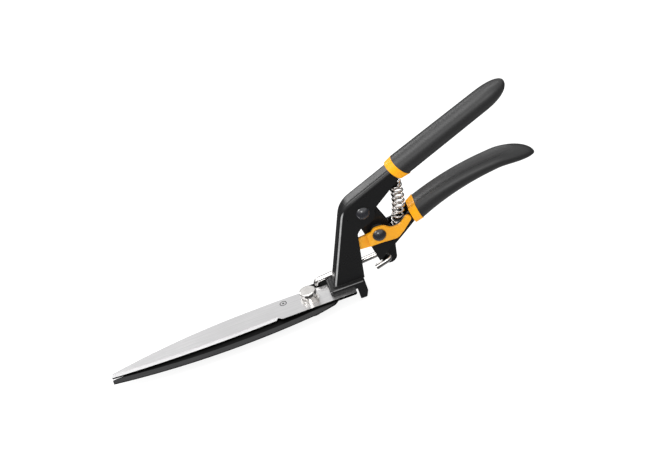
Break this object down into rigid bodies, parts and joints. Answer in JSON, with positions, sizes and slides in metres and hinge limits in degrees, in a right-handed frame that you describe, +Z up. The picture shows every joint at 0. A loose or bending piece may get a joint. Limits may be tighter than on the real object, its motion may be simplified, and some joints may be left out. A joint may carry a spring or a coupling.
{
  "type": "grass shears",
  "caption": "Grass shears with level blades under a raised pressed-steel handle, a sprung squeeze grip, a link rod and a thumb lock lever.",
  "frame": {"origin": "on the pivot bolt's axis, in the upper face of the fixed blade", "axes": "+Z up, the blades point along -X and the grips along +X, the lock lever is on the -Y side"},
  "size_m": [0.3353, 0.0381, 0.1331],
  "materials": {
    "black_coat": "satin black powder coat",
    "blade_steel": "fine lengthwise grind, ground bevel",
    "blade_coating": "smooth black friction coating",
    "plated_steel": "nickel-plated, slightly worn",
    "spring_steel": "bright drawn wire",
    "black_rivet": "black oxide, semi-gloss",
    "grip_vinyl": "dipped vinyl with a fine pebbled grain",
    "collar_orange": "satin yellow-orange",
    "lever_orange": "satin yellow-orange",
    "washer_nylon": "moulded nylon",
    "peg_plastic": "moulded plastic",
    "bush_brass": "turned bronze"
  },
  "bodies": {
    "upper_half": {"body_frame": "black_coat", "foot_block": "black_coat", "fixed_blade": "blade_steel", "tail_clamp_plate": "black_coat", "blade_screws": "black_rivet", "pivot_bolt": "plated_steel", "flat_washer": "plated_steel", "spring_washer": "plated_steel", "lower_washer": "plated_steel", "pivot_nut": "plated_steel", "upper_grip": "grip_vinyl", "upper_collar": "collar_orange", "main_rivet": "black_rivet", "pivot_spacers": "washer_nylon", "upper_spring_peg": "peg_plastic"},
    "squeeze_handle": {"lower_handle": "black_coat", "lower_grip": "grip_vinyl", "lower_collar": "collar_orange", "handle_bush": "bush_brass", "lock_rivet": "black_rivet", "lever_spacer": "washer_nylon", "lower_spring_peg": "peg_plastic", "return_spring": "spring_steel"},
    "swinging_blade": {"moving_blade": "blade_coating", "blade_bush": "bush_brass"},
    "lock": {"lock_lever": "lever_orange"},
    "link": {"link_rod": "plated_steel", "rod_retainer": "plated_steel"}
  },
  "joints": [
    {"name": "handle_squeeze", "type": "hinge", "parent": "upper_half", "child": "squeeze_handle", "pos_m": [0.0557, 0, 0.0574], "axis": [0, 1, 0], "range_deg": [0, 9.5], "stiffness_Nm_per_rad": 1.2, "springref_deg": 20.05, "deforming": ["return_spring"]},
    {"name": "blade_swing", "type": "hinge", "parent": "upper_half", "child": "swinging_blade", "pos_m": [0, 0, 0], "axis": [0, 0, 1], "range_deg": [0, 31.4]},
    {"name": "lever_turn", "type": "hinge", "parent": "squeeze_handle", "child": "lock", "pos_m": [0.0615, 0, 0.0367], "axis": [0, 1, 0], "range_deg": [0, 18]},
    {"name": "link_swing", "type": "hinge", "parent": "squeeze_handle", "child": "link", "pos_m": [0.063, 0, 0.0082], "axis": [0, 1, 0], "range_deg": [-9.6, 0.1]}
  ],
  "couplings": [
    {"joint": "blade_swing", "follows": "handle_squeeze", "ratio": 3.3},
    {"joint": "link_swing", "follows": "handle_squeeze", "ratio": -1}
  ]
}
